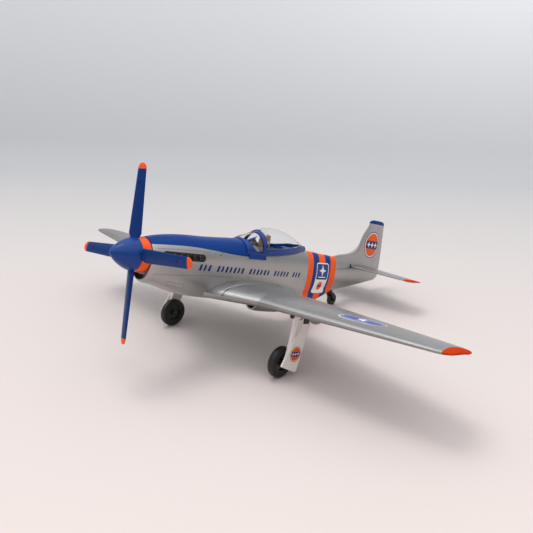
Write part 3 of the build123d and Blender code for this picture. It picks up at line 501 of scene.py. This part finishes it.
def rounded_patch(centre, half, radius, columns, rows):
    """Regular grid filling a rectangle with rounded corners."""
    lines = []
    for i in range(rows + 1):
        v = -1 + 2 * i / rows
        v = math.sin(v * math.pi / 2) * 0.35 + v * 0.65
        over = max(0.0, abs(v) * half[1] - (half[1] - radius))
        width = half[0] - (radius - math.sqrt(max(radius ** 2 - over ** 2, 0.0)))
        lines.append([(centre[0] + width * (-1 + 2 * j / columns), centre[1] + v * half[1])
                      for j in range(columns + 1)])
    return lines


def polar_patch(centre, radius, inner, rings, around, shape=None):
    """Rings of a disc, or of any outline given as radius(angle)."""
    lines = []
    for r in range(rings + 1):
        share = inner + (1 - inner) * r / rings
        line = []
        for k in range(around + 1):
            a = 2 * math.pi * k / around
            rad = (shape(a) if shape else radius) * share
            line.append((centre[0] + rad * math.cos(a), centre[1] + rad * math.sin(a)))
        lines.append(line)
    return lines


def star_radius(points, outer, inner, phase):
    """Outline of a star as a radius for each angle."""
    step = math.pi / points                # from a point of the star to the notch beside it
    p = (outer, 0.0)
    q = (inner * math.cos(step), inner * math.sin(step))

    def radius(a):
        k = ((a - phase) / step) % 2
        k = k if k <= 1 else 2 - k
        angle = k * step
        divisor = math.cos(angle) * (q[1] - p[1]) - math.sin(angle) * (q[0] - p[0])
        return (p[0] * (q[1] - p[1]) - p[1] * (q[0] - p[0])) / divisor
    return radius


RIBBON_STEP = 0.8


def ribbon(path, width):
    """Two edges of a narrow line along a 2-D path."""
    fine = []
    for a, b in zip(path, path[1:]):
        n = max(2, int(math.dist(a, b) / RIBBON_STEP))
        fine += [(a[0] + (b[0] - a[0]) * i / n, a[1] + (b[1] - a[1]) * i / n) for i in range(n)]
    fine.append(path[-1])
    left, right = [], []
    for i, p in enumerate(fine):
        a, b = fine[max(i - 1, 0)], fine[min(i + 1, len(fine) - 1)]
        d = math.dist(a, b) or 1.0
        nx, ny = -(b[1] - a[1]) / d * width / 2, (b[0] - a[0]) / d * width / 2
        left.append((p[0] + nx, p[1] + ny))
        right.append((p[0] - nx, p[1] - ny))
    return [left, right]


def bend_line(points, steps=6):
    """Catmull-Rom curve through a few 2-D points."""
    out = []
    ext = [points[0]] + list(points) + [points[-1]]
    for p0, p1, p2, p3 in zip(ext, ext[1:], ext[2:], ext[3:]):
        for i in range(steps):
            t = i / steps
            out.append(tuple(0.5 * (2 * b + (c - a) * t + (2 * a - 5 * b + 4 * c - d) * t * t
                                    + (3 * b - a - 3 * c + d) * t ** 3)
                             for a, b, c, d in zip(p0, p1, p2, p3)))
    out.append(points[-1])
    return out


def side_label(side):
    """White-edged panel over the bands: blue field with a star above, white field with a disc below."""
    tag = "left" if side > 0 else "right"
    middle, high, low, split, half = 161.3, 5.5, -15.4, -5.7, 7.5
    edge = 0.75
    parts = [
        ("label_white", "white", 0.07, rounded_patch((middle, (high + low) / 2),
                                                     (half, (high - low) / 2), 1.8, 18, 34)),
        ("label_blue", "blue", 0.11, rounded_patch((middle, (high - edge + split) / 2),
                                                   (half - edge, (high - edge - split) / 2), 1.0, 18, 20)),
        ("label_star", "white", 0.15, polar_patch((middle, 0.3), 0, 0, 6, 100,
                                                  star_radius(4, 4.3, 1.5, math.pi / 2))),
        ("label_bar", "white", 0.15, rounded_patch((middle, -4.1), (4.6, 0.3), 0.25, 12, 3)),
        ("label_disc", "orange", 0.11, polar_patch((middle, -10.3), 3.0, 0, 8, 72)),
        ("label_disc_bar", "navy", 0.15, rounded_patch((middle, -10.3), (2.3, 0.75), 0.3, 10, 4)),
    ]
    for name, look, lift, lines in parts:
        lay(f"{tag}_{name}", BODY, [from_side(side, lines)], look, lift)


def stripe_row(side):
    """Row of slanted dashes along the fuselage side, in groups of different lengths."""
    tag = "left" if side > 0 else "right"
    start, end = 47.4, 137.0
    z_start, z_end = -2.3, -3.2
    pitch, gap, wide, slant = 3.12, 3.4, 1.55, 0.5
    y = start
    grids = []
    for count in (3, 7, 6, 5, 3):
        for k in range(count):
            t = (y - start) / (end - start)
            z = z_start + (z_end - z_start) * t
            tall = 1.68 - 0.15 * t
            thin = 0.30 if k % 2 else 0.0
            lines = []
            for i in range(6):
                v = -1 + 2 * i / 5
                lines.append([(y + wide * (j / 3) * (1 - thin * abs(v)) + slant * v, z + tall * v)
                              for j in range(4)])
            grids.append(from_side(side, lines))
            y += pitch
        y += gap
    lay(f"{tag}_side_marks", BODY, grids, "navy", 0.05)


def emblem(name, tree, side, centre, radius, body="airframe"):
    """Round emblem: navy and white rings, orange disc, and three small stars on a navy bar."""
    star = star_radius(4, radius * 0.25, radius * 0.10, math.pi / 2)
    places = [(centre[0] + k * radius * 0.48, centre[1]) for k in (-1, 0, 1)]
    for part, look, lift, patches in (
            ("ring", "white", 0.05, [polar_patch(centre, radius * 0.955, 0, 10, 96)]),
            ("edge", "navy", 0.08, [polar_patch(centre, radius, 0.945, 1, 96)]),
            ("disc", "orange", 0.09, [polar_patch(centre, radius * 0.86, 0, 10, 96)]),
            ("core", "navy", 0.13,
             [rounded_patch(centre, (radius * 0.80, radius * 0.30), radius * 0.1, 16, 8)]),
            ("stars", "white", 0.17, [polar_patch(place, 0, 0, 4, 64, star) for place in places])):
        lay(f"{name}_{part}", tree, [from_side(side, patch) for patch in patches], look, lift, body)


def wing_flash():
    """White-edged flash with a star on the port wing."""
    centre = (92.5, 82.6)
    skew, rise = 0.22, 0.10
    for tag, size, look, lift in (("edge", (11.6, 4.5), "white", 0.05),
                                  ("field", (11.1, 4.0), "lavender", 0.09),
                                  ("bar", (9.8, 1.5), "blue", 0.13)):
        lines = superellipse_patch(centre, size, 3.2, 8, 96)
        slanted = [[(x + skew * (y - centre[1]), y + rise * (x - centre[0])) for x, y in line]
                   for line in lines]
        lay("wing_flash_" + tag, WING, [from_above(slanted)], look, lift)
    star = polar_patch(centre, 0, 0, 6, 100, star_radius(5, 3.3, 1.35, math.pi / 2))
    lay("wing_flash_star", WING, [from_above(star)], "white", 0.17)


LINE_WIDTH, RUDDER_LINE_WIDTH = 0.17, 0.22
GROOVE_LIFT = 0.03


def panel_lines():
    """Engraved lines of the castings, drawn as narrow dark strips on the surface whose darkness is painted
    shade in the grooves.
    """
    hatch = [(30.2, -11.2), (40.8, -12.4), (41.2, -14.6), (30.8, -13.6), (30.2, -11.2)]
    sides = [bend_line([(20.5, 5.2), (36.0, 5.9), (54.0, 5.9)]), hatch,
             bend_line([(20.5, -7.9), (34.0, -7.4), (50.0, -6.5), (72.0, -6.7)]),
             bend_line([(196.6, 12.6), (195.2, 6.0), (195.4, -2.0), (196.6, -9.6)])]
    rudder = [(229.4, 5.0), (228.4, 24.0), (227.6, 37.6)]
    tops = [[(19.0, 113.8), (66.0, 106.2), (126.0, 97.0), (127.0, 107.4)], [(66.0, 106.2), (67.2, 119.0)],
            [(42.0, 80.6), (43.6, 96.0), (61.4, 94.0), (60.0, 81.4), (42.0, 80.6)]]
    for side in (1, -1):
        tag = "left" if side > 0 else "right"
        grids = [from_side(side, ribbon(path, LINE_WIDTH)) for path in sides]
        grids += [from_side(side, superellipse_patch(c, (0.75, 0.4), 2.0, 3, 24))
                  for c in ((62.9, 6.4), (61.6, 4.9))]
        lay(f"{tag}_panel_lines", BODY, grids, "groove_shade", GROOVE_LIFT)
        lay(f"{tag}_rudder_line", FIN, [from_side(side, ribbon(rudder, RUDDER_LINE_WIDTH))], "groove_shade",
            GROOVE_LIFT)
        grids = [from_above([[(side * x, y) for x, y in line] for line in ribbon(path, LINE_WIDTH)])
                 for path in tops]
        lay(f"{tag}_wing_lines", WING, grids, "groove_shade", GROOVE_LIFT)


for number in (1, -1):
    side_label(number)
for number in (1, -1):
    stripe_row(number)
for tag, number in (("left", 1), ("right", -1)):
    emblem(f"{tag}_fin_emblem", FIN, number, (222.4, 22.4), 10.0)
for tag, number in (("left", 1), ("right", -1)):
    emblem(f"{tag}_door_emblem", DOORS, number, (88.4, -37.9), 4.3, f"{tag}_leg")
wing_flash()
panel_lines()

# --- camera, floor, light -----------------------------------------------------------------------
CAMERA_AT = (233.18, -151.51, 39.29)       # datum millimetres
CAMERA_TURN = (72.41, -1.47, 44.24)        # row-frame Euler angles, degrees
LENS = 38.51
SENSOR = 36.0
SWEEP_TURN = math.radians(CAMERA_TURN[2])  # the paper rises straight behind the model as the camera sees it
# One paper: the far floor's grey is painted shade and the wall's lighter grey is painted light.
FLOOR_NEAR = srgb(220, 207, 201)
SHADED_FLOOR_FAR = srgb(178, 179, 180)
WALL = srgb(224, 225, 227)
SKY_LOW, SKY_HIGH = (0.17, 0.175, 0.18, 1.0), (0.80, 0.82, 0.85, 1.0)
SKY_STRENGTH = 1.83
SHEET_GAP = 0.0008                         # the surround lies this far below the floor, in metres

camera_data = bpy.data.cameras.new("camera")
camera_data.lens = LENS
camera_data.sensor_width = SENSOR
camera_data.clip_start = 0.01
camera_data.clip_end = 20.0
camera = bpy.data.objects.new("camera", camera_data)
camera.location = Vector(place([CAMERA_AT])[0])
camera.rotation_euler = [math.radians(v) for v in CAMERA_TURN]
bpy.context.scene.collection.objects.link(camera)
bpy.context.scene.camera = camera


def area_light(name, at, target, size, power, colour=(1.0, 1.0, 1.0)):
    """Soft box at a row-frame position in metres, aimed at a point."""
    data = bpy.data.lights.new(name, "AREA")
    data.shape = "RECTANGLE"
    data.size, data.size_y = size
    data.energy = power
    data.color = colour
    light = bpy.data.objects.new(name, data)
    light.location = at
    light.rotation_euler = (Vector(target) - Vector(at)).to_track_quat("-Z", "Y").to_euler()
    bpy.context.scene.collection.objects.link(light)
    return light


def quarter_turn(flat, radius, steps=24):
    """Profile of the paper from lying flat to standing up, as (distance, height)."""
    return [(flat + radius * math.sin(a), radius * (1 - math.cos(a)))
            for a in (math.pi / 2 * k / steps for k in range(1, steps + 1))]


def paper_sheet(name, points, faces, paper):
    """A sheet of the studio's paper, not attached to any body."""
    mesh = bpy.data.meshes.new(name)
    mesh.from_pydata(points, [], faces)
    for p in mesh.polygons:
        p.use_smooth = True
    sheet = bpy.data.objects.new(name, mesh)
    bpy.context.scene.collection.objects.link(sheet)
    sheet.data.materials.append(paper)
    return sheet


def paper_look():
    """Pale paper, pinker near the camera, greyed towards the far floor by painted shade, and lighter up the
    wall by painted light.
    """
    material, shader = new_material("studio_paper", FLOOR_NEAR, 0.0, 0.6, spec=0.25)
    tree = material.node_tree
    coord = tree.nodes.new("ShaderNodeTexCoord")
    split = tree.nodes.new("ShaderNodeSeparateXYZ")
    tree.links.new(coord.outputs["Object"], split.inputs[0])
    maths = Maths(tree)
    back = maths.do("ADD", maths.do("MULTIPLY", split.outputs[0], -math.sin(SWEEP_TURN)),
                maths.do("MULTIPLY", split.outputs[1], math.cos(SWEEP_TURN)))
    depth = maths.do("MULTIPLY_ADD", maths.do("ADD", back, split.outputs[2]), 0.9, 0.35, clamp=True)
    # Painted shade greys the floor away from the camera, and painted light lightens the wall.
    flat_colour = ramp(tree, depth, 0.1, 0.9, FLOOR_NEAR, SHADED_FLOOR_FAR)
    rise = maths.do("MULTIPLY", split.outputs[2], 2.0, clamp=True)
    tree.links.new(mix_colour(tree, rise, flat_colour, WALL), shader.inputs["Base Color"])
    g = noise_node(tree, 900.0, 2.0)
    bump(tree, g.outputs["Fac"], 0.05, 0.0001, shader.inputs["Normal"])
    return material


def studio_floor(paper):
    """Pale paper that lies flat under the model and sweeps up behind it."""
    flat, radius, height, half_width, near = 1.1, 0.9, 2.2, 3.5, -1.8
    profile = [(near + (flat - near) * i / 8, 0.0) for i in range(9)]
    profile += quarter_turn(flat, radius)
    profile += [(flat + radius, radius + (height - radius) * k / 4) for k in range(1, 5)]
    points, faces = [], []
    across = 6
    for away, z in profile:
        for k in range(across + 1):
            w = -half_width + 2 * half_width * k / across
            points.append((w * math.cos(SWEEP_TURN) - away * math.sin(SWEEP_TURN),
                           w * math.sin(SWEEP_TURN) + away * math.cos(SWEEP_TURN), z))
    for i in range(len(profile) - 1):
        for k in range(across):
            q = i * (across + 1) + k
            faces.append((q, q + 1, q + across + 2, q + across + 1))
    paper_sheet("studio_floor", points, faces, paper)


def studio_surround(paper):
    """The same paper carried on all round, for views from the other sides. Only the camera sees it."""
    start, flat, radius, height = 1.3, 2.7, 0.9, 2.2
    profile = [(start + (flat - start) * i / 6, -SHEET_GAP) for i in range(7)]
    profile += quarter_turn(flat, radius)
    profile.append((flat + radius, height))
    around = 96
    points = [(r * math.cos(2 * math.pi * k / around), r * math.sin(2 * math.pi * k / around), z)
              for r, z in profile for k in range(around)]
    faces = []
    for i in range(len(profile) - 1):
        for k in range(around):
            a, b = i * around + k, i * around + (k + 1) % around
            faces.append((a, a + around, b + around, b))
    ring = paper_sheet("studio_surround", points, faces, paper)
    ring.visible_diffuse = False
    ring.visible_glossy = False
    ring.visible_transmission = False
    ring.visible_shadow = False


def studio_sky():
    """Soft surroundings, brightest overhead."""
    world = bpy.data.worlds.new("studio")
    world.use_nodes = True
    tree = world.node_tree
    background = tree.nodes["Background"]
    direction = tree.nodes.new("ShaderNodeTexCoord")
    split = tree.nodes.new("ShaderNodeSeparateXYZ")
    tree.links.new(direction.outputs["Generated"], split.inputs[0])
    colour = ramp(tree, split.outputs[2], 0.12, 0.92, SKY_LOW, SKY_HIGH)
    tree.links.new(colour, background.inputs["Color"])
    background.inputs["Strength"].default_value = SKY_STRENGTH
    bpy.context.scene.world = world


PAPER = paper_look()
studio_floor(PAPER)
studio_surround(PAPER)
studio_sky()
key = area_light("key_box", (-0.33, -0.11, 2.0), (0, 0, 0.05), (0.7, 0.6), 9.5, (1.0, 0.94, 0.905))
key.visible_glossy = False
area_light("gloss_box", (-0.45, -0.25, 1.4), (0, 0, 0.05), (0.3, 0.3), 1.5)
area_light("back_box", (-0.2, 1.6, 1.5), (-0.2, 2.4, 0.6), (1.2, 0.8), 5.0)
bpy.context.scene.view_settings.view_transform = "Standard"
bpy.context.scene.view_settings.look = "None"
